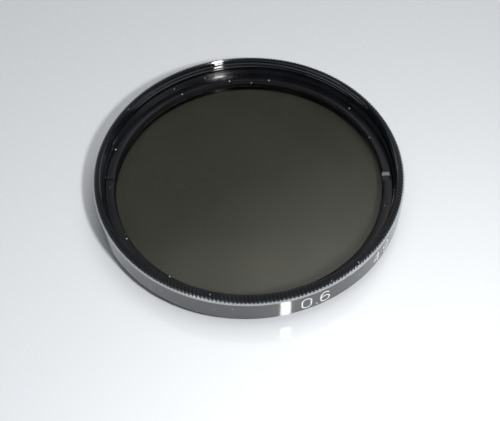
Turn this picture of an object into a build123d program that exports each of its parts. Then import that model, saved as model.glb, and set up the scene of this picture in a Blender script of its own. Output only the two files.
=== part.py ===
from build123d import *
import os
from math import cos, pi, radians, sin, tan

# A screw-in photographic neutral density filter, built as the real one is made: a turned
# ring, a round glass plate that lies on a ledge inside it, and a slotted retaining ring
# screwed down onto the glass. All sizes are in millimetres. The origin is the middle of
# the rear end face, and +Z runs along the optical axis towards the front.

# Filter thread, male at the rear and female at the front
thread_diameter = 49.0
thread_pitch = 0.75
male_depth_per_pitch = 0.6134
female_depth_per_pitch = 0.5413
thread_play = 0.05
rear_thread_length = 2.0
rear_thread_chamfer = 0.2
rear_relief_width = 0.35
front_thread_length = 1.8
front_relief_width = 0.55
front_relief_depth = 0.1

# Smooth band between the shoulder and the knurl
shoulder_width = 1.0
shoulder_chamfer = 0.12
band_height = 3.95
band_edge_chamfer = 0.08

# Knurled front rim
knurl_step = 0.2
knurl_depth = 0.28
knurl_pitch = 0.625
knurl_straight_height = 0.55
knurl_bevel = 0.6
mouth_chamfer = 0.25

# Glass plate and the pocket around it
wall_under_thread = 0.84
glass_side_play = 0.1
glass_thickness = 2.0
glass_edge_bevel = 0.25

# Ledge under the glass
ledge_width = 0.85
ledge_thickness = 0.85
ledge_lip_height = 0.55
ledge_flare_angle = 45.0

# Retaining ring over the glass, in a thread of its own that is small enough to pass the front one
retainer_thread_step = 0.2
retainer_height = 0.82
retainer_top_width = 1.45
retainer_dish_width = 0.3
retainer_edge_chamfer = 0.12
retainer_thread_margin = 0.1
slot_count = 2
slot_width = 1.6
slot_depth = 0.5
slot_reach = 1.2

# Radii, from the thread outwards and inwards
thread_radius = thread_diameter / 2
thread_root_radius = thread_radius - male_depth_per_pitch * thread_pitch
front_bore_radius = thread_radius - female_depth_per_pitch * thread_pitch
body_radius = thread_radius + shoulder_width
crest_radius = body_radius - knurl_step
front_relief_radius = thread_radius + front_relief_depth
pocket_radius = thread_root_radius - wall_under_thread
glass_radius = pocket_radius - glass_side_play
aperture_radius = pocket_radius - ledge_width
retainer_bore_radius = front_bore_radius - retainer_thread_step
retainer_radius = retainer_bore_radius - thread_play
retainer_top_radius = retainer_radius - retainer_top_width
retainer_bottom_radius = retainer_top_radius - retainer_dish_width

# Heights, from the rear end face up
shoulder_z = rear_thread_length
rear_relief_z = shoulder_z - rear_relief_width
band_top_z = shoulder_z + band_height
knurl_turn_z = band_top_z + knurl_straight_height
front_z = knurl_turn_z + knurl_bevel
front_relief_top_z = front_z - front_thread_length
front_relief_bottom_z = front_relief_top_z - front_relief_width
glass_bottom_z = ledge_thickness
glass_top_z = glass_bottom_z + glass_thickness
lip_z = glass_bottom_z - ledge_lip_height
pocket_top_z = glass_top_z - retainer_thread_margin
retainer_top_z = glass_top_z + retainer_height

rear_opening_radius = aperture_radius + lip_z * tan(radians(ledge_flare_angle))


def turned(outline):
    """Turns a closed outline of (radius, height) corners about the optical axis."""
    corners = [(radius, 0, height) for radius, height in outline]
    return revolve(make_face(Polyline(*corners, close=True)), axis=Axis.Z)


def ring_blank():
    """The ring as turned: rear thread, shoulder, band, grooved bore, glass pocket and ledge."""
    return turned([
        (rear_opening_radius, 0),
        (thread_radius - rear_thread_chamfer, 0),
        (thread_radius, rear_thread_chamfer),
        (thread_radius, rear_relief_z),
        (thread_root_radius, rear_relief_z),
        (thread_root_radius, shoulder_z),
        (body_radius - shoulder_chamfer, shoulder_z),
        (body_radius, shoulder_z + shoulder_chamfer),
        (body_radius, band_top_z - band_edge_chamfer),
        (body_radius - band_edge_chamfer, band_top_z),
        (front_bore_radius, band_top_z),
        (front_bore_radius, front_relief_top_z),
        (front_relief_radius, front_relief_top_z),
        (front_relief_radius, front_relief_bottom_z),
        (retainer_bore_radius, front_relief_bottom_z),
        (retainer_bore_radius, pocket_top_z),
        (pocket_radius, pocket_top_z),
        (pocket_radius, glass_bottom_z),
        (aperture_radius, glass_bottom_z),
        (aperture_radius, lip_z),
    ])


def tooth_outline(outer_radius, height):
    """One closed zigzag round the rim: crests at the outer radius, roots one depth inside."""
    count = round(2 * pi * crest_radius / knurl_pitch)
    corners = []
    for index in range(2 * count):
        angle = pi * index / count
        radius = outer_radius - knurl_depth * (index % 2)
        corners.append((radius * cos(angle), radius * sin(angle), height))
    return Polyline(*corners, close=True).wire()


def knurled_rim():
    """The front rim, with straight V-teeth that run up its side and in over its bevel."""
    crown = Solid.make_loft(
        [
            tooth_outline(crest_radius, band_top_z),
            tooth_outline(crest_radius, knurl_turn_z),
            tooth_outline(crest_radius - knurl_bevel, front_z),
        ],
        ruled=True,
    )
    mouth = turned([
        (0, band_top_z),
        (front_bore_radius, band_top_z),
        (front_bore_radius, front_z - mouth_chamfer),
        (front_bore_radius + mouth_chamfer, front_z),
        (0, front_z),
    ])
    return crown - mouth


def filter_ring():
    """The whole ring, one piece from the rear thread to the front rim."""
    return ring_blank() + knurled_rim()


def nd_glass():
    """The tinted glass plate, with both of its edges bevelled."""
    return turned([
        (0, glass_bottom_z),
        (glass_radius - glass_edge_bevel, glass_bottom_z),
        (glass_radius, glass_bottom_z + glass_edge_bevel),
        (glass_radius, glass_top_z - glass_edge_bevel),
        (glass_radius - glass_edge_bevel, glass_top_z),
        (0, glass_top_z),
    ])


def retaining_ring():
    """The screwed ring that holds the glass down, dished inside and slotted for a spanner."""
    ring = turned([
        (retainer_bottom_radius, glass_top_z),
        (retainer_radius, glass_top_z),
        (retainer_radius, retainer_top_z - retainer_edge_chamfer),
        (retainer_radius - retainer_edge_chamfer, retainer_top_z),
        (retainer_top_radius, retainer_top_z),
    ])
    slot_bottom = retainer_top_z - slot_depth
    slot_end = retainer_top_radius + slot_reach
    for index in range(slot_count):
        cutter = Box(slot_end, slot_width, slot_depth, align=(Align.MIN, Align.CENTER, Align.MIN))
        cutter = Rot(0, 0, 360 * index / slot_count) * Pos(0, 0, slot_bottom) * cutter
        ring -= cutter
    return ring


nodes = {
    "filter_ring": filter_ring(),
    "nd_glass": nd_glass(),
    "retaining_ring": retaining_ring(),
}

os.makedirs("parts", exist_ok=True)
for name, shape in nodes.items():
    export_step(shape, f"parts/{name}.step")
    print(name, "volume", round(shape.volume, 2), "solids", len(shape.solids()))
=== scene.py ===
"""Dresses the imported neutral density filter: turned ring, glass plate, retaining ring and numerals."""

import logging
import math
from dataclasses import dataclass, field
from typing import Any, Sequence, Union

import bmesh
import bpy
from mathutils import Matrix, Vector


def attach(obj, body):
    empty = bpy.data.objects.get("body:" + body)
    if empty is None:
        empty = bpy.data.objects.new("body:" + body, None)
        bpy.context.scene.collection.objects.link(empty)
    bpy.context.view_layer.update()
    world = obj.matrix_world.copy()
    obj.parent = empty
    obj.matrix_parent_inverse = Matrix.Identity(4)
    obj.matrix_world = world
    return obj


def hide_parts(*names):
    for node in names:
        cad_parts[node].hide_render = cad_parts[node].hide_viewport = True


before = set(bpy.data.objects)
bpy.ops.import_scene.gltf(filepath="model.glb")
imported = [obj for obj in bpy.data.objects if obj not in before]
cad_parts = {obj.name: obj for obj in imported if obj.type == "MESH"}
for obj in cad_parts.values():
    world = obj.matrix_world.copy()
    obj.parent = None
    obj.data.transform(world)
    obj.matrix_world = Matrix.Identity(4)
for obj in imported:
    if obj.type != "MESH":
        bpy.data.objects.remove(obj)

MM = 0.001
WELD = 0.0005 * MM
TEETH = 254
COLUMNS_PER_TOOTH = 4
COLUMNS = TEETH * COLUMNS_PER_TOOTH
BODY = "root"
LOG = logging.getLogger("filter")

Operand = Union["Expr", bpy.types.NodeSocket, float, int]
Outline = Sequence[tuple[float, float]]


class Expr:
    """A number on a node's socket, whose Python operators add Math nodes."""

    def __init__(self, board: "Board", socket: bpy.types.NodeSocket) -> None:
        """Keeps the board to build on and the socket that gives the number.

        Args:
            board: The node tree in the making.
            socket: The output socket to read.
        """
        self.board = board
        self.socket = socket

    def math(self, operation: str, *others: Operand) -> "Expr":
        """Adds one Math node that takes this number first.

        Args:
            operation: The node's operation.
            others: Its further inputs, in order.

        Returns:
            The result as a new expression.
        """
        values = dict(enumerate((self, *others)))
        return self.board.value("ShaderNodeMath", {"operation": operation}, values)

    def math_after(self, operation: str, other: Operand) -> "Expr":
        """Adds one Math node that takes another number first."""
        return self.board.value("ShaderNodeMath", {"operation": operation}, {0: other, 1: self})

    def __add__(self, other: Operand) -> "Expr":
        """Gives self + other."""
        return self.math("ADD", other)

    def __radd__(self, other: Operand) -> "Expr":
        """Gives other + self."""
        return self.math_after("ADD", other)

    def __sub__(self, other: Operand) -> "Expr":
        """Gives self - other."""
        return self.math("SUBTRACT", other)

    def __rsub__(self, other: Operand) -> "Expr":
        """Gives other - self."""
        return self.math_after("SUBTRACT", other)

    def __mul__(self, other: Operand) -> "Expr":
        """Gives self * other."""
        return self.math("MULTIPLY", other)

    def __truediv__(self, other: Operand) -> "Expr":
        """Gives self / other."""
        return self.math("DIVIDE", other)

    def __abs__(self) -> "Expr":
        """Gives the value without its sign."""
        return self.math("ABSOLUTE")

    def at_least(self, other: Operand) -> "Expr":
        """Gives the larger of the two."""
        return self.math("MAXIMUM", other)

    def at_most(self, other: Operand) -> "Expr":
        """Gives the smaller of the two."""
        return self.math("MINIMUM", other)

    def ramp(self, start: Operand, end: Operand) -> "Expr":
        """Rises smoothly from 0 to 1 as the value goes from start to end.

        Args:
            start: The value that gives 0.
            end: The value that gives 1.

        Returns:
            The eased share.
        """
        settings = {"interpolation_type": "SMOOTHSTEP"}
        return self.board.value("ShaderNodeMapRange", settings, {0: self, 1: start, 2: end})

    def within(self, low: float, high: float, soft: float) -> "Expr":
        """Gives 1 between two values and 0 outside them.

        Args:
            low: The lower end of the band.
            high: The upper end of the band.
            soft: How wide each edge is.

        Returns:
            The mask.
        """
        return self.ramp(low - soft, low) * (1 - self.ramp(high, high + soft))


class Board:
    """A node tree in the making, for a material, the world or Geometry Nodes."""

    def __init__(self, tree: bpy.types.NodeTree) -> None:
        """Empties the tree.

        Args:
            tree: The tree to fill.
        """
        self.tree = tree
        tree.nodes.clear()

    def node(
        self,
        kind: str,
        settings: dict[str, Any] | None = None,
        values: dict[str | int, Any] | None = None,
    ) -> bpy.types.Node:
        """Adds a node of any kind.

        Args:
            kind: The node's type name.
            settings: Its properties, set first.
            values: The values or links of its inputs, by name or index.

        Returns:
            The new node.
        """
        node = self.tree.nodes.new(kind)
        for name, setting in (settings or {}).items():
            setattr(node, name, setting)
        for key, value in (values or {}).items():
            if isinstance(value, Expr):
                value = value.socket
            if isinstance(value, bpy.types.NodeSocket):
                self.tree.links.new(value, node.inputs[key])
            else:
                node.inputs[key].default_value = value
        return node

    def value(
        self,
        kind: str,
        settings: dict[str, Any] | None = None,
        values: dict[str | int, Any] | None = None,
        output: str | int = 0,
    ) -> Expr:
        """Adds a node and reads one of its outputs.

        Args:
            kind: The node's type name.
            settings: Its properties.
            values: Its inputs.
            output: The output to read.

        Returns:
            That output as an expression.
        """
        return Expr(self, self.node(kind, settings, values).outputs[output])

    def vector(self, x: Operand, y: Operand, z: Operand) -> Expr:
        """Joins three numbers into a vector."""
        return self.value("ShaderNodeCombineXYZ", None, {0: x, 1: y, 2: z})

    def blend(self, share: Operand, first: Any, second: Any) -> Expr:
        """Blends two colours.

        Args:
            share: 0 for the first colour, 1 for the second.
            first: A colour or a colour socket.
            second: A colour or a colour socket.

        Returns:
            The blended colour.
        """
        return self.value("ShaderNodeMix", {"data_type": "RGBA"}, {0: share, 6: first, 7: second}, 2)


@dataclass(frozen=True)
class Surface:
    """The numbers that a finish on a turned part reads: radius, height and bearing."""

    board: Board
    point: Expr
    radius: Expr
    height: Expr

    @classmethod
    def of(cls, board: Board) -> "Surface":
        """Reads them from Object coordinates, in millimetres.

        Args:
            board: The material's tree.

        Returns:
            The set of numbers.
        """
        place = board.value("ShaderNodeTexCoord", output="Object")
        scaled = board.value(
            "ShaderNodeVectorMath", {"operation": "SCALE"}, {"Vector": place, "Scale": 1 / MM}
        )
        parts = board.node("ShaderNodeSeparateXYZ", None, {0: scaled})
        x, y, z = (Expr(board, parts.outputs[index]) for index in range(3))
        return cls(board, scaled, (x * x + y * y).math("SQRT"), z)

    def noise(self, scale: float, detail: float = 2.0) -> Expr:
        """Gives soft noise over the surface.

        Args:
            scale: How many waves there are in a millimetre.
            detail: How many finer layers it has.

        Returns:
            The noise, about 0.5 on average.
        """
        return self.board.value(
            "ShaderNodeTexNoise", None, {"Vector": self.point, "Scale": scale, "Detail": detail}
        )

    def turning(self, per_mm: float) -> Expr:
        """Gives the fine rings that a lathe tool leaves.

        Args:
            per_mm: How many rings there are in a millimetre.

        Returns:
            The height of the marks, from 0 to 1.
        """
        return self.board.value(
            "ShaderNodeTexNoise",
            {"noise_dimensions": "1D"},
            {"W": self.height + self.radius, "Scale": per_mm, "Detail": 2.0},
        )

    def specks(self, cell: float, size: float) -> Expr:
        """Gives small specks of dust.

        Args:
            cell: The mean distance between two specks' cells, in millimetres.
            size: The radius of the largest speck, in millimetres.

        Returns:
            A mask that is 1 on a speck.
        """
        cells = self.board.node("ShaderNodeTexVoronoi", None, {"Vector": self.point, "Scale": 1 / cell})
        distance = Expr(self.board, cells.outputs["Distance"]) * cell
        parts = self.board.node("ShaderNodeSeparateColor", None, {0: cells.outputs["Color"]})
        reach = Expr(self.board, parts.outputs[0]) * size
        return 1 - distance.ramp(reach * 0.6, reach)


@dataclass(frozen=True)
class Finish:
    """The base of every finish: a named material with one Principled shader."""

    name: str

    def start(self) -> tuple[bpy.types.Material, Board]:
        """Makes the empty material.

        Returns:
            The material and its tree.
        """
        material = bpy.data.materials.new(self.name)
        material.use_nodes = True
        return material, Board(material.node_tree)


@dataclass(frozen=True)
class BlackAnodising(Finish):
    """Glossy black anodising on turned aluminium, with turning marks, dust and a bright, partly metallic
    band at the step.
    """

    colour: tuple[float, float, float] = (0.005, 0.0053, 0.0068)
    worn_gain: float = 1.7
    cloud_per_mm: float = 0.35
    cloud_roughness: float = 0.02
    dust: tuple[float, float, float] = (0.62, 0.62, 0.6)
    dust_roughness: float = 0.7
    step_tone: tuple[float, float, float] = (0.5, 0.53, 0.56)
    roughness: float = 0.05
    ior: float = 1.9
    marks_per_mm: float = 9.0
    mark_height: float = 0.0004 * MM
    dust_cell: float = 1.4
    dust_size: float = 0.15
    step_height: float | None = None
    step_radius: float = 25.0
    step_below: float = 0.085
    step_above: float = 0.012
    step_roughness: float = 0.22
    step_metallic: float = 0.4
    mask_edge: float = 0.006
    teeth_radius: float = 24.3
    teeth_roughness: float = 0.38
    teeth_ior: float = 1.4

    def make(self) -> bpy.types.Material:
        """Builds the material.

        Returns:
            The finished material.
        """
        material, board = self.start()
        here = Surface.of(board)
        cloud = here.noise(self.cloud_per_mm, 3.0)
        specks = here.specks(self.dust_cell, self.dust_size)
        worn = [c * self.worn_gain for c in self.colour]
        tone = board.blend(cloud.ramp(0.3, 0.75), (*self.colour, 1), (*worn, 1))
        gloss = self.roughness + cloud * self.cloud_roughness
        metal: Operand = 0.0
        if self.step_height is not None:
            low, high = self.step_height - self.step_below, self.step_height + self.step_above
            step = here.height.within(low, high, self.mask_edge)
            step = step * here.radius.ramp(self.step_radius - 0.01, self.step_radius)
            # A thin band at the step's outer edge gets a lighter, partly metallic tone and more roughness.
            tone = board.blend(step, tone, (*self.step_tone, 1))
            gloss = gloss + step * self.step_roughness
            metal = step * self.step_metallic
        tone = board.blend(specks, tone, (*self.dust, 1))
        gloss = gloss + specks * self.dust_roughness
        bump = board.value(
            "ShaderNodeBump",
            None,
            {"Strength": 1.0, "Distance": self.mark_height, "Height": here.turning(self.marks_per_mm)},
        )
        shader = board.node(
            "ShaderNodeBsdfPrincipled",
            None,
            {"Base Color": tone, "Roughness": gloss, "Metallic": metal, "IOR": self.ior, "Normal": bump},
        )
        if self.step_height is not None:
            matt = board.node(
                "ShaderNodeBsdfPrincipled",
                None,
                {"Base Color": tone, "Roughness": self.teeth_roughness, "IOR": self.teeth_ior},
            )
            teeth = here.height.ramp(self.step_height + 0.01, self.step_height + 0.03)
            teeth = teeth * here.radius.ramp(self.teeth_radius, self.teeth_radius + 0.06)
            shader = board.node(
                "ShaderNodeMixShader", None, {0: teeth, 1: shader.outputs[0], 2: matt.outputs[0]}
            )
        board.node("ShaderNodeOutputMaterial", None, {"Surface": shader.outputs[0]})
        return material


@dataclass(frozen=True)
class GreyGlass(Finish):
    """Grey optical glass that lets about a sixth of the light through, a little olive."""

    clear_share: tuple[float, float, float] = (0.167, 0.166, 0.141)
    ior: float = 1.52

    def make(self) -> bpy.types.Material:
        """Builds the material. Lamp rays cross it straight, with the same loss at each face.

        Returns:
            The finished material.
        """
        material, board = self.start()
        here = Surface.of(board)
        haze = here.noise(0.12, 2.0)
        dark, light = ([c * k for c in self.clear_share] for k in (0.97, 1.03))
        tone = board.blend(haze.ramp(0.35, 0.65), (*dark, 1), (*light, 1))
        glass = board.node(
            "ShaderNodeBsdfPrincipled",
            None,
            {"Base Color": tone, "Roughness": 0.0, "IOR": self.ior, "Transmission Weight": 1.0},
        )
        face_share = [math.sqrt(c) for c in self.clear_share]
        through = board.node("ShaderNodeBsdfTransparent", None, {"Color": (*face_share, 1)})
        lamp_ray = board.value("ShaderNodeLightPath", output="Is Shadow Ray")
        mixed = board.node(
            "ShaderNodeMixShader", None, {0: lamp_ray, 1: glass.outputs[0], 2: through.outputs[0]}
        )
        board.node("ShaderNodeOutputMaterial", None, {"Surface": mixed.outputs[0]})
        return material


@dataclass(frozen=True)
class WhiteFilling(Finish):
    """White paint in the engraved numerals, slightly worn and uneven."""

    colour: tuple[float, float, float] = (0.88, 0.88, 0.86)
    worn: tuple[float, float, float] = (0.6, 0.6, 0.6)

    def make(self) -> bpy.types.Material:
        """Builds the material.

        Returns:
            The finished material.
        """
        material, board = self.start()
        here = Surface.of(board)
        wear = here.noise(3.0, 3.0).ramp(0.5, 0.75)
        tone = board.blend(wear, (*self.colour, 1), (*self.worn, 1))
        bump = board.value(
            "ShaderNodeBump", None, {"Strength": 0.4, "Distance": 0.01 * MM, "Height": here.noise(9.0)}
        )
        shader = board.node(
            "ShaderNodeBsdfPrincipled",
            None,
            {"Base Color": tone, "Roughness": 0.45 + wear * 0.2, "Normal": bump},
        )
        board.node("ShaderNodeOutputMaterial", None, {"Surface": shader.outputs[0]})
        return material


class Shape:
    """Helpers that turn outlines and trees into plain meshes."""

    @staticmethod
    def lathe(
        name: str, outline: Outline, columns: int = COLUMNS, closed: bool = False
    ) -> bpy.types.Object:
        """Turns an outline of (radius, height) corners about the axis.

        Args:
            name: The new object's name.
            outline: Its corners in millimetres. A radius of 0 closes the end with one point.
            columns: How many steps there are round the axis.
            closed: Whether the last corner joins the first.

        Returns:
            The new object.
        """
        vertices: list[tuple[float, float, float]] = []
        rows: list[list[int]] = []
        for radius, height in outline:
            if radius == 0:
                rows.append([len(vertices)] * columns)
                vertices.append((0.0, 0.0, height * MM))
                continue
            rows.append(list(range(len(vertices), len(vertices) + columns)))
            for column in range(columns):
                angle = math.tau * column / columns
                vertices.append(
                    (radius * MM * math.cos(angle), radius * MM * math.sin(angle), height * MM)
                )
        faces = []
        for lower, upper in zip(rows, rows[1:] + rows[:1] if closed else rows[1:]):
            for column in range(columns):
                after = (column + 1) % columns
                face = [lower[column], lower[after], upper[after], upper[column]]
                faces.append(list(dict.fromkeys(face)))
        mesh = bpy.data.meshes.new(name)
        mesh.from_pydata(vertices, [], faces)
        return Shape.link(name, mesh)

    @staticmethod
    def link(name: str, mesh: bpy.types.Mesh) -> bpy.types.Object:
        """Makes an object of a mesh and puts it in the scene."""
        piece = bpy.data.objects.new(name, mesh)
        bpy.context.scene.collection.objects.link(piece)
        return piece

    @staticmethod
    def rounded(outline: Outline, rounds: dict[int, float], steps: int = 2) -> list[tuple[float, float]]:
        """Rounds some corners of an outline.

        Args:
            outline: The corners, in millimetres.
            rounds: The radius of each corner to round, by its index.
            steps: How many edges each round has.

        Returns:
            The new outline.
        """
        result: list[tuple[float, float]] = []
        for index, corner in enumerate(outline):
            if index not in rounds:
                result.append(corner)
                continue
            here = Vector(corner)
            before = (Vector(outline[index - 1]) - here).normalized()
            after = (Vector(outline[(index + 1) % len(outline)]) - here).normalized()
            half = before.angle(after) / 2
            reach = rounds[index] / math.tan(half)
            centre = here + (before + after).normalized() * rounds[index] / math.sin(half)
            first, last = here + before * reach - centre, here + after * reach - centre
            for step in range(steps + 1):
                arm = first.lerp(last, step / steps).normalized() * rounds[index]
                result.append(tuple(centre + arm))
        return result

    @staticmethod
    def grow(
        piece: bpy.types.Object, tree: bpy.types.NodeTree, sizes: dict[str, Any]
    ) -> bpy.types.Object:
        """Runs a Geometry Nodes tree on an object and keeps the result as its plain mesh.

        Args:
            piece: The object whose geometry the tree takes.
            tree: The tree.
            sizes: The tree's inputs, by name.

        Returns:
            The same object, now a mesh object without the modifier.
        """
        modifier = piece.modifiers.new("grow", "NODES")
        modifier.node_group = tree
        for item in tree.interface.items_tree:
            if item.item_type == "SOCKET" and item.in_out == "INPUT" and item.name in sizes:
                modifier[item.identifier] = sizes[item.name]
        graph = bpy.context.evaluated_depsgraph_get()
        graph.update()
        mesh = bpy.data.meshes.new_from_object(piece.evaluated_get(graph))
        piece.modifiers.remove(modifier)
        if piece.type == "MESH":
            piece.data = mesh
            return piece
        name = piece.name
        bpy.data.objects.remove(piece)
        return Shape.link(name, mesh)

    @staticmethod
    def weld(
        name: str, parts: Sequence[bpy.types.Object], material: bpy.types.Material
    ) -> bpy.types.Object:
        """Joins parts whose edges meet into one closed mesh.

        Args:
            name: The new object's name.
            parts: The parts, which are used up.
            material: The finish of the whole.

        Returns:
            The new object.
        """
        work = bmesh.new()
        for part in parts:
            work.from_mesh(part.data)
            bpy.data.objects.remove(part)
        bmesh.ops.remove_doubles(work, verts=work.verts, dist=WELD)
        bmesh.ops.dissolve_degenerate(work, edges=work.edges, dist=WELD / 10)
        bmesh.ops.recalc_face_normals(work, faces=work.faces)
        open_edges = sum(1 for edge in work.edges if len(edge.link_faces) != 2)
        mesh = bpy.data.meshes.new(name)
        work.to_mesh(mesh)
        work.free()
        mesh.materials.clear()
        mesh.materials.append(material)
        mesh.polygons.foreach_set("material_index", [0] * len(mesh.polygons))
        mesh.shade_smooth()
        mesh.set_sharp_from_angle(angle=math.radians(24))
        LOG.info("%s: %d faces, %d open edges", name, len(mesh.polygons), open_edges)
        return Shape.even_normals(Shape.link(name, mesh))

    @staticmethod
    def even_normals(piece: bpy.types.Object) -> bpy.types.Object:
        """Weights the normals by face size, so that walls beside small roundings look flat.

        Args:
            piece: The object, whose mesh is replaced.

        Returns:
            The same object.
        """
        modifier = piece.modifiers.new("even_normals", "WEIGHTED_NORMAL")
        modifier.keep_sharp = True
        graph = bpy.context.evaluated_depsgraph_get()
        graph.update()
        mesh = bpy.data.meshes.new_from_object(piece.evaluated_get(graph))
        piece.modifiers.remove(modifier)
        piece.data = mesh
        return piece


class Tree:
    """A Geometry Nodes tree with named inputs."""

    def __init__(self, name: str, inputs: dict[str, str]) -> None:
        """Makes the tree with its inputs.

        Args:
            name: The tree's name.
            inputs: The kind of each input, by name.
        """
        self.tree = bpy.data.node_groups.new(name, "GeometryNodeTree")
        self.board = Board(self.tree)
        for label, kind in {"Geometry": "Geometry", **inputs, "Finish": "Material"}.items():
            self.tree.interface.new_socket(label, in_out="INPUT", socket_type="NodeSocket" + kind)
        self.tree.interface.new_socket("Geometry", in_out="OUTPUT", socket_type="NodeSocketGeometry")
        self.given = self.board.node("NodeGroupInput")

    def __getitem__(self, label: str) -> Expr:
        """Gives one of the tree's inputs."""
        return Expr(self.board, self.given.outputs[label])

    def around(self, shape: Operand, count: Operand) -> Expr:
        """Sets copies of a shape round the axis.

        Args:
            shape: The geometry to repeat, at the bearing of the first copy.
            count: How many there are.

        Returns:
            The copies, still as instances.
        """
        board = self.board
        points = board.value(
            "GeometryNodeMeshLine", {"mode": "OFFSET"}, {"Count": count, "Offset": (0, 0, 0)}
        )
        index = board.value("GeometryNodeInputIndex")
        turn = board.vector(0.0, 0.0, index * math.tau / count)
        return board.value(
            "GeometryNodeInstanceOnPoints",
            None,
            {"Points": points, "Instance": shape, "Rotation": turn},
        )

    def close(self, geometry: Operand) -> bpy.types.NodeTree:
        """Ends the tree: the geometry is realized and gets its finish.

        Args:
            geometry: What the tree has made.

        Returns:
            The finished tree.
        """
        solid = self.board.value("GeometryNodeRealizeInstances", None, {0: geometry})
        dressed = self.board.value(
            "GeometryNodeSetMaterial", None, {"Geometry": solid, "Material": self["Finish"]}
        )
        self.board.node("NodeGroupOutput", None, {"Geometry": dressed})
        return self.tree


@dataclass
class ScrewThread:
    """A right-handed thread on a wall, as a strip whose rows follow the helix."""

    name: str
    pitch: float
    crest_radius: float
    root_radius: float
    start: float
    end: float
    start_rim: float
    end_rim: float
    crest_flat: float = 0.25
    root_flat: float = 0.25
    rows_per_turn: int = 8
    chamfer_height: float = -50.0
    chamfer_radius: float = 0.0
    chamfer_inward: float = 1000.0
    chamfer_outward: float = 1000.0

    @staticmethod
    def tree() -> bpy.types.NodeTree:
        """Builds the tree that shapes the strip.

        Returns:
            The Geometry Nodes tree.
        """
        floats = (
            "Pitch", "Crest Radius", "Root Radius", "Start", "End", "Start Rim", "End Rim",
            "Crest Flat", "Root Flat", "Chamfer Height", "Chamfer Radius", "Chamfer Inward",
            "Chamfer Outward",
        )  # fmt: skip
        counts = ("Columns", "Rows", "Rows Per Turn")
        tree = Tree("thread_strip", {**dict.fromkeys(floats, "Float"), **dict.fromkeys(counts, "Int")})
        board = tree.board
        grid = board.value(
            "GeometryNodeMeshGrid",
            None,
            {"Size X": 1.0, "Size Y": 1.0, "Vertices X": tree["Columns"] + 1, "Vertices Y": tree["Rows"]},
        )
        flat = board.node("ShaderNodeSeparateXYZ", None, {0: board.value("GeometryNodeInputPosition")})
        turn = Expr(board, flat.outputs[0]) + 0.5
        last = tree["Rows"] - 1
        row = ((Expr(board, flat.outputs[1]) + 0.5) * last).math("ROUND")
        free = tree["Start"] + tree["Pitch"] * ((row - 1) / tree["Rows Per Turn"] - 1 + turn)
        height = free.at_least(tree["Start"]).at_most(tree["End"])
        cycles = (height - tree["Start"]) / tree["Pitch"] - turn + 2
        phase = cycles.math("FRACT")
        wave = abs(phase * 2 - 1)
        depth = (wave - tree["Crest Flat"]) / (1 - tree["Crest Flat"] - tree["Root Flat"])
        depth = depth.at_least(0.0).at_most(1.0)
        radius = tree["Crest Radius"] + (tree["Root Radius"] - tree["Crest Radius"]) * depth
        away = abs(height - tree["Chamfer Height"])
        radius = radius.at_least(tree["Chamfer Radius"] - tree["Chamfer Inward"] * away)
        radius = radius.at_most(tree["Chamfer Radius"] + tree["Chamfer Outward"] * away)
        first_row = row.math("LESS_THAN", 0.5)
        last_row = row.math("GREATER_THAN", last - 0.5)
        radius = radius * (1 - first_row - last_row)
        radius = radius + first_row * tree["Start Rim"] + last_row * tree["End Rim"]
        angle = turn * math.tau
        place = board.vector(
            radius * angle.math("COSINE") * MM, radius * angle.math("SINE") * MM, height * MM
        )
        shaped = board.value("GeometryNodeSetPosition", None, {"Geometry": grid, "Position": place})
        return tree.close(shaped)

    def build(self, tree: bpy.types.NodeTree, finish: bpy.types.Material) -> bpy.types.Object:
        """Makes the strip.

        Args:
            tree: What ScrewThread.tree gave.
            finish: Its material.

        Returns:
            The strip, with plain circles at both rims.
        """
        turns = (self.end - self.start) / self.pitch + 1
        sizes = {
            "Pitch": self.pitch,
            "Crest Radius": self.crest_radius,
            "Root Radius": self.root_radius,
            "Start": self.start,
            "End": self.end,
            "Start Rim": self.start_rim,
            "End Rim": self.end_rim,
            "Crest Flat": self.crest_flat,
            "Root Flat": self.root_flat,
            "Chamfer Height": self.chamfer_height,
            "Chamfer Radius": self.chamfer_radius,
            "Chamfer Inward": self.chamfer_inward,
            "Chamfer Outward": self.chamfer_outward,
            "Columns": COLUMNS,
            "Rows": math.ceil(turns * self.rows_per_turn) + 3,
            "Rows Per Turn": self.rows_per_turn,
            "Finish": finish,
        }
        strip = Shape.link(self.name, bpy.data.meshes.new(self.name))
        return Shape.grow(strip, tree, sizes)


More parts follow.
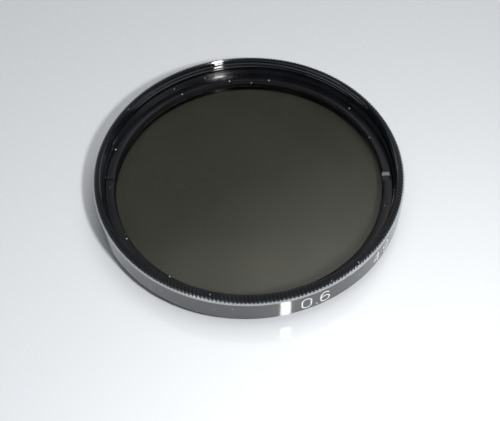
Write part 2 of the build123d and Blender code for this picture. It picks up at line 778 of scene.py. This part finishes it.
@dataclass
class KnurledRim:
    """The toothed front rim, from the band's top edge up and in to the mouth."""

    teeth: int = TEETH
    step_outer: float = 25.42
    band_top: float = 5.95
    turn: float = 6.5
    front: float = 7.1
    crest: float = 25.3
    bevel: float = 0.6
    depth: float = 0.28
    mouth: float = 24.344
    crest_ease: float = 0.03

    def tooth(self) -> bpy.types.Object:
        """Makes one tooth, from root to root.

        Returns:
            The tooth's open strip.
        """
        half = COLUMNS_PER_TOOTH // 2
        drops = [self.depth, self.depth / 2 + self.crest_ease / 2, self.crest_ease]
        rows = [
            [(self.step_outer, self.band_top)] * (2 * half + 1),
            [(self.crest - drops[half - abs(k)], self.band_top) for k in range(-half, half + 1)],
            [(self.crest - drops[half - abs(k)], self.turn) for k in range(-half, half + 1)],
            [(self.crest - self.bevel - drops[half - abs(k)], self.front) for k in range(-half, half + 1)],
            [(self.mouth, self.front)] * (2 * half + 1),
        ]
        vertices = []
        for row in rows:
            for k, (radius, height) in zip(range(-half, half + 1), row):
                angle = math.tau * k / COLUMNS
                vertices.append(
                    (radius * MM * math.cos(angle), radius * MM * math.sin(angle), height * MM)
                )
        wide = 2 * half + 1
        faces = [
            (r * wide + c, r * wide + c + 1, (r + 1) * wide + c + 1, (r + 1) * wide + c)
            for r in range(len(rows) - 1)
            for c in range(wide - 1)
        ]
        mesh = bpy.data.meshes.new("tooth")
        mesh.from_pydata(vertices, [], faces)
        return Shape.link("tooth", mesh)

    def build(self, finish: bpy.types.Material) -> bpy.types.Object:
        """Sets the tooth round the rim.

        Args:
            finish: The rim's material.

        Returns:
            The rim, with plain circles at both edges.
        """
        tree = Tree("teeth", {"Teeth": "Int"})
        copies = tree.around(tree["Geometry"], tree["Teeth"])
        return Shape.grow(self.tooth(), tree.close(copies), {"Teeth": self.teeth, "Finish": finish})


@dataclass
class TurnedRing:
    """The whole black ring: rear thread, band, knurled rim, front thread, groove, pocket and ledge."""

    rim: KnurledRim = field(default_factory=KnurledRim)
    finish: BlackAnodising = field(
        default_factory=lambda: BlackAnodising("black_anodising", step_height=5.95)
    )
    rear: ScrewThread = field(
        default_factory=lambda: ScrewThread(
            "rear_thread", 0.75, 24.5, 24.04, 0.0, 1.65, 23.9, 24.04,
            chamfer_height=0.0, chamfer_radius=24.3, chamfer_inward=3.0, chamfer_outward=1.0,
        )
    )  # fmt: skip
    front: ScrewThread = field(
        default_factory=lambda: ScrewThread(
            "front_thread", 0.75, 24.094, 24.2, 5.3, 7.1, 24.6, 24.344,
            crest_flat=0.65, root_flat=0.15,
            chamfer_height=7.1, chamfer_radius=24.344, chamfer_inward=1.0, chamfer_outward=0.2,
        )
    )  # fmt: skip
    inner: ScrewThread = field(
        default_factory=lambda: ScrewThread(
            "inner_thread", 0.5, 23.894, 24.03, 3.5, 4.75, 23.894, 24.6,
            crest_flat=0.333, root_flat=0.333, rows_per_turn=6,
        )
    )  # fmt: skip

    def band(self) -> list[tuple[float, float]]:
        """Gives the outline from the rear thread's neck to the knurl.

        Returns:
            The corners, in millimetres.
        """
        outline = [
            (24.04, 1.65), (24.04, 2.0), (25.38, 2.0), (25.5, 2.12), (25.5, 5.87), (25.42, 5.95),
        ]  # fmt: skip
        return Shape.rounded(outline, {2: 0.05, 3: 0.05, 4: 0.05})

    def inside(self) -> list[tuple[float, float]]:
        """Gives the outline from the inner thread down the pocket and round the ledge.

        Returns:
            The corners, in millimetres.
        """
        outline = [
            (23.894, 3.5), (23.894, 2.75), (23.2, 2.75), (23.2, 0.85), (22.35, 0.85),
            (22.35, 0.3), (22.65, 0.0), (23.9, 0.0),
        ]  # fmt: skip
        return Shape.rounded(outline, {4: 0.05, 5: 0.04, 6: 0.04})

    def groove(self) -> list[tuple[float, float]]:
        """Gives the back wall of the relief groove."""
        return [(24.6, 4.75), (24.6, 5.3)]

    def build(self) -> bpy.types.Object:
        """Makes the ring in place of the CAD node.

        Returns:
            The ring.
        """
        material = self.finish.make()
        tree = ScrewThread.tree()
        parts = [thread.build(tree, material) for thread in (self.rear, self.front, self.inner)]
        parts.append(self.rim.build(material))
        for label, outline in (("band", self.band()), ("inside", self.inside()), ("groove", self.groove())):
            parts.append(Shape.lathe(label, outline))
        ring = Shape.weld("black_ring", parts, material)
        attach(ring, BODY)
        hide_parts("filter_ring")
        return ring


@dataclass
class RetainingRing:
    """The slotted ring over the glass, with a dished inner edge."""

    outer: float = 23.844
    top_inner: float = 22.394
    bottom_inner: float = 22.094
    bottom: float = 2.85
    top: float = 3.67
    edge: float = 0.12
    slots: int = 2
    slot_width: float = 1.6
    slot_depth: float = 0.5
    slot_reach: float = 1.2
    columns: int = 508
    finish: BlackAnodising = field(
        default_factory=lambda: BlackAnodising(
            "black_retainer", colour=(0.0042, 0.0044, 0.0056), roughness=0.2, ior=1.6
        )
    )

    def tree(self) -> bpy.types.NodeTree:
        """Builds the tree that cuts the slots.

        Returns:
            The Geometry Nodes tree.
        """
        tree = Tree("slots", {"Slots": "Int", "Cutter": "Vector", "Place": "Vector"})
        board = tree.board
        block = board.value("GeometryNodeMeshCube", None, {"Size": tree["Cutter"]})
        set_out = board.value(
            "GeometryNodeTransform", None, {"Geometry": block, "Translation": tree["Place"]}
        )
        cutters = board.value(
            "GeometryNodeRealizeInstances", None, {0: tree.around(set_out, tree["Slots"])}
        )
        cut = board.value(
            "GeometryNodeMeshBoolean",
            {"operation": "DIFFERENCE"},
            {"Mesh 1": tree["Geometry"], "Mesh 2": cutters},
        )
        return tree.close(cut)

    def build(self) -> bpy.types.Object:
        """Makes the ring in place of the CAD node.

        Returns:
            The retaining ring.
        """
        material = self.finish.make()
        outline = Shape.rounded(
            [
                (self.bottom_inner, self.bottom),
                (self.outer, self.bottom),
                (self.outer, self.top - self.edge),
                (self.outer - self.edge, self.top),
                (self.top_inner, self.top),
            ],
            {0: 0.03, 4: 0.04},
            3,
        )
        blank = Shape.lathe("retaining_blank", outline, self.columns, closed=True)
        reach = self.top_inner + self.slot_reach
        cutter = Vector((reach, self.slot_width, 2 * self.slot_depth)) * MM
        sizes = {
            "Slots": self.slots,
            "Cutter": cutter,
            "Place": Vector((reach / 2, 0.0, self.top)) * MM,
            "Finish": material,
        }
        cut = Shape.grow(blank, self.tree(), sizes)
        ring = Shape.weld("retaining_ring_dressed", [cut], material)
        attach(ring, BODY)
        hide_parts("retaining_ring")
        return ring


@dataclass
class GlassPlate:
    """The bevelled round plate of grey glass."""

    radius: float = 23.1
    bottom: float = 0.85
    top: float = 2.85
    bevel: float = 0.25
    columns: int = 508
    finish: GreyGlass = field(default_factory=lambda: GreyGlass("grey_glass"))

    def build(self) -> bpy.types.Object:
        """Makes the plate in place of the CAD node.

        Returns:
            The plate.
        """
        material = self.finish.make()
        outline = [
            (0.0, self.bottom),
            (self.radius - self.bevel, self.bottom),
            (self.radius, self.bottom + self.bevel),
            (self.radius, self.top - self.bevel),
            (self.radius - self.bevel, self.top),
            (0.0, self.top),
        ]
        blank = Shape.lathe("glass_blank", outline, self.columns)
        plate = Shape.weld("glass_plate", [blank], material)
        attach(plate, BODY)
        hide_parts("nd_glass")
        return plate


@dataclass
class Numerals:
    """Plain numerals filled with white, drawn with a single stroke round the band."""

    width: float = 1.5
    tall: float = 2.45
    foot: float = 2.62
    stroke: float = 0.25
    relief: float = 0.008
    band_radius: float = 25.5
    marks: tuple[tuple[str, float], ...] = (
        ("0", -72.6),
        (".", -67.4),
        ("6", -65.6),
        ("4", -41.0),
        ("9", -35.0),
    )

    def _arc(
        self, centre: tuple[float, float], reach: tuple[float, float], start: float, end: float
    ) -> list[tuple[float, float]]:
        """Gives points along an arc of an ellipse.

        Args:
            centre: Its middle.
            reach: Its two half sizes.
            start: The first angle, in degrees.
            end: The last angle.

        Returns:
            The points.
        """
        steps = max(2, round(abs(end - start) / 15))
        angles = [math.radians(start + (end - start) * k / steps) for k in range(steps + 1)]
        return [(centre[0] + reach[0] * math.cos(a), centre[1] + reach[1] * math.sin(a)) for a in angles]

    def strokes(self, sign: str) -> list[list[tuple[float, float]]]:
        """Gives the strokes of one sign, from its lower left corner.

        Args:
            sign: A numeral or a point.

        Returns:
            The strokes, each a list of points.
        """
        half, tall = self.width / 2, self.tall
        if sign == "0":
            top = self._arc((half, tall - half), (half, half), 0, 180)
            low = self._arc((half, half), (half, half), 180, 360)
            return [top + low + top[:1]]
        if sign == ".":
            return [[(0.0, 0.15), (0.3, 0.15)]]
        if sign == "4":
            stem, bar = 0.72 * self.width, 0.3 * tall
            return [[(stem, 0), (stem, tall)], [(stem, tall), (0, bar)], [(0, bar), (self.width, bar)]]
        hook = self._arc((half, tall * 0.6), (half, tall * 0.4), 35, 180)
        six = hook + self._arc((half, half), (half, half), 180, 540)
        if sign == "6":
            return [six]
        return [[(self.width - x, tall - y) for x, y in six]]

    def tree(self) -> bpy.types.NodeTree:
        """Builds the tree that thickens the strokes and wraps them round the band.

        Returns:
            The Geometry Nodes tree.
        """
        tree = Tree("numerals", {"Stroke": "Float", "Relief": "Float", "Band Radius": "Float"})
        board = tree.board
        nib = board.value(
            "GeometryNodeCurvePrimitiveCircle", None, {"Resolution": 8, "Radius": tree["Stroke"] / 2}
        )
        fine = board.value("GeometryNodeSubdivideCurve", None, {"Curve": tree["Geometry"], "Cuts": 4})
        tubes = board.value(
            "GeometryNodeCurveToMesh", None, {"Curve": fine, "Profile Curve": nib, "Fill Caps": True}
        )
        flat = board.node("ShaderNodeSeparateXYZ", None, {0: board.value("GeometryNodeInputPosition")})
        along, up, out = (Expr(board, flat.outputs[index]) for index in range(3))
        band = tree["Band Radius"]
        bearing = along / band
        radius = band + out * (tree["Relief"] * 2) / tree["Stroke"]
        place = board.vector(radius * bearing.math("COSINE"), radius * bearing.math("SINE"), up)
        wrapped = board.value("GeometryNodeSetPosition", None, {"Geometry": tubes, "Position": place})
        return tree.close(wrapped)

    def build(self) -> bpy.types.Object:
        """Draws the numerals on the band.

        Returns:
            The numerals, as one piece.
        """
        curve = bpy.data.curves.new("numerals", "CURVE")
        curve.dimensions = "3D"
        for sign, bearing in self.marks:
            start = math.radians(bearing) * self.band_radius
            for stroke in self.strokes(sign):
                spline = curve.splines.new("POLY")
                spline.points.add(len(stroke) - 1)
                for point, (x, y) in zip(spline.points, stroke):
                    point.co = ((start + x) * MM, (self.foot + y) * MM, 0.0, 1.0)
        drawn = bpy.data.objects.new("numerals", curve)
        bpy.context.scene.collection.objects.link(drawn)
        material = WhiteFilling("white_filling").make()
        sizes = {
            "Stroke": self.stroke * MM,
            "Relief": self.relief * MM,
            "Band Radius": self.band_radius * MM,
            "Finish": material,
        }
        wrapped = Shape.grow(drawn, self.tree(), sizes)
        wrapped.name = "numerals_raw"
        piece = Shape.weld("band_numerals", [wrapped], material)
        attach(piece, BODY)
        return piece


@dataclass
class Studio:
    """The pale floor, the soft surroundings, the key lamp and the camera."""

    elevation: float = 54.36
    roll: float = -1.532
    distance: float = 164.447
    target: tuple[float, float, float] = (0.073, -5.159, 2.0)
    lens: float = 72.0
    key_place: tuple[float, float, float] = (40.0, -94.0, 130.0)
    key_size: tuple[float, float] = (12.5, 14.0)
    key_power: float = 0.19
    fill_power: float = 5.0
    floor_colour: tuple[float, float, float] = (0.78, 0.8, 0.825)
    floor_roughness: float = 0.45
    floor_gloss: float = 0.05
    far_colour: tuple[float, float, float] = (0.8, 0.82, 0.84)
    far_strength: float = 0.55
    far_start: float = 130.0
    far_end: float = 450.0
    floor_reach: float = 3.0
    fill_size: float = 1.6
    fill_height: float = 1.2
    low_sky: tuple[float, float, float] = (0.5, 0.52, 0.55)
    high_sky: tuple[float, float, float] = (0.045, 0.05, 0.06)
    glow_colour: tuple[float, float, float] = (1.5, 1.5, 1.46)
    glow_bearing: float = 45.0
    glow_height: float = 72.0
    glow_reach: float = 29.0
    glow_core: float = 12.0

    def camera(self) -> None:
        """Sets the camera where the photograph was taken from."""
        height, turn = math.radians(self.elevation), math.radians(self.roll)
        back = Vector((0.0, -math.cos(height), math.sin(height)))
        level, rise = Vector((1.0, 0.0, 0.0)), Vector((0.0, math.sin(height), math.cos(height)))
        right = level * math.cos(turn) + rise * math.sin(turn)
        up = rise * math.cos(turn) - level * math.sin(turn)
        data = bpy.data.cameras.new("camera")
        data.lens = self.lens
        data.sensor_width = 36.0
        data.clip_start = 0.005
        data.clip_end = 20.0
        camera = bpy.data.objects.new("camera", data)
        place = (Vector(self.target) + back * self.distance) * MM
        camera.matrix_world = Matrix.Translation(place) @ Matrix((right, up, back)).transposed().to_4x4()
        bpy.context.scene.collection.objects.link(camera)
        bpy.context.scene.camera = camera

    def floor(self) -> None:
        """Lays the pale, slightly glossy floor under the ring."""
        material = bpy.data.materials.new("pale_floor")
        material.use_nodes = True
        board = Board(material.node_tree)
        shader = board.node(
            "ShaderNodeBsdfPrincipled",
            None,
            {
                "Base Color": (*self.floor_colour, 1),
                "Roughness": self.floor_roughness,
                "Coat Weight": 1.0,
                "Coat Roughness": self.floor_gloss,
            },
        )
        away = Surface.of(board).radius.ramp(self.far_start, self.far_end)
        rays = board.node("ShaderNodeLightPath")
        seen = Expr(board, rays.outputs["Is Camera Ray"]).at_least(rays.outputs["Is Glossy Ray"])
        seen = seen.at_least(rays.outputs["Is Transmission Ray"])
        pale = board.node(
            "ShaderNodeEmission",
            None,
            {"Color": (*self.far_colour, 1), "Strength": away * seen * self.far_strength},
        )
        both = board.node("ShaderNodeAddShader", None, {0: shader.outputs[0], 1: pale.outputs[0]})
        board.node("ShaderNodeOutputMaterial", None, {"Surface": both.outputs[0]})
        mesh = bpy.data.meshes.new("floor")
        reach, drop = self.floor_reach, -0.01 * MM
        corners = [(x * reach, y * reach, drop) for x, y in ((-1, -1), (1, -1), (1, 1), (-1, 1))]
        mesh.from_pydata(corners, [], [(0, 1, 2, 3)])
        mesh.materials.append(material)
        Shape.link("floor", mesh)

    def key(self) -> None:
        """Hangs the compact key lamp just right of the camera."""
        data = bpy.data.lights.new("key", "AREA")
        data.shape = "RECTANGLE"
        data.size, data.size_y = (size * MM for size in self.key_size)
        data.energy = self.key_power
        lamp = bpy.data.objects.new("key", data)
        aim = Vector(self.key_place) - Vector(self.target)
        lamp.location = Vector(self.key_place) * MM
        lamp.rotation_euler = aim.to_track_quat("Z", "Y").to_euler()
        lamp.visible_camera = False
        bpy.context.scene.collection.objects.link(lamp)

    def fill(self) -> None:
        """Hangs the wide soft fill overhead, which mirrors don't show."""
        data = bpy.data.lights.new("fill", "AREA")
        data.shape = "DISK"
        data.size = self.fill_size
        data.energy = self.fill_power
        lamp = bpy.data.objects.new("fill", data)
        lamp.location = (0.0, 0.0, self.fill_height)
        lamp.visible_camera = False
        lamp.visible_glossy = False
        bpy.context.scene.collection.objects.link(lamp)

    def surroundings(self) -> None:
        """Makes the world: pale round the horizon, dim overhead, with one soft glow behind."""
        world = bpy.data.worlds.new("studio")
        world.use_nodes = True
        board = Board(world.node_tree)
        way = board.value("ShaderNodeTexCoord", output="Generated")
        rise = Expr(board, board.node("ShaderNodeSeparateXYZ", None, {0: way}).outputs[2])
        dim = rise.ramp(0.1, 0.4)
        tone = board.blend(dim, (*self.low_sky, 1), (*self.high_sky, 1))
        bearing, height = math.radians(self.glow_bearing), math.radians(self.glow_height)
        glow_way = (
            math.cos(height) * math.cos(bearing),
            math.cos(height) * math.sin(bearing),
            math.sin(height),
        )
        facing = board.value(
            "ShaderNodeVectorMath", {"operation": "DOT_PRODUCT"}, {0: way, 1: glow_way}, "Value"
        )
        reach, core = (math.cos(math.radians(angle)) for angle in (self.glow_reach, self.glow_core))
        tone = board.blend(facing.ramp(reach, core), tone, (*self.glow_colour, 1))
        sky = board.node("ShaderNodeBackground", None, {"Color": tone, "Strength": 1.0})
        board.node("ShaderNodeOutputWorld", None, {"Surface": sky.outputs[0]})
        bpy.context.scene.world = world

    def build(self) -> None:
        """Sets the whole stage."""
        self.camera()
        self.floor()
        self.key()
        self.fill()
        self.surroundings()
        bpy.context.scene.view_settings.view_transform = "Standard"


def main() -> None:
    """Builds the stage and the pieces in order."""
    logging.basicConfig(level=logging.INFO, format="%(name)s: %(message)s")
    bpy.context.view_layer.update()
    Studio().build()
    for assembly in (TurnedRing(), RetainingRing(), GlassPlate(), Numerals()):
        piece = assembly.build()
        LOG.info("%s rides on %s", piece.name, BODY)


if __name__ == "__main__":
    main()
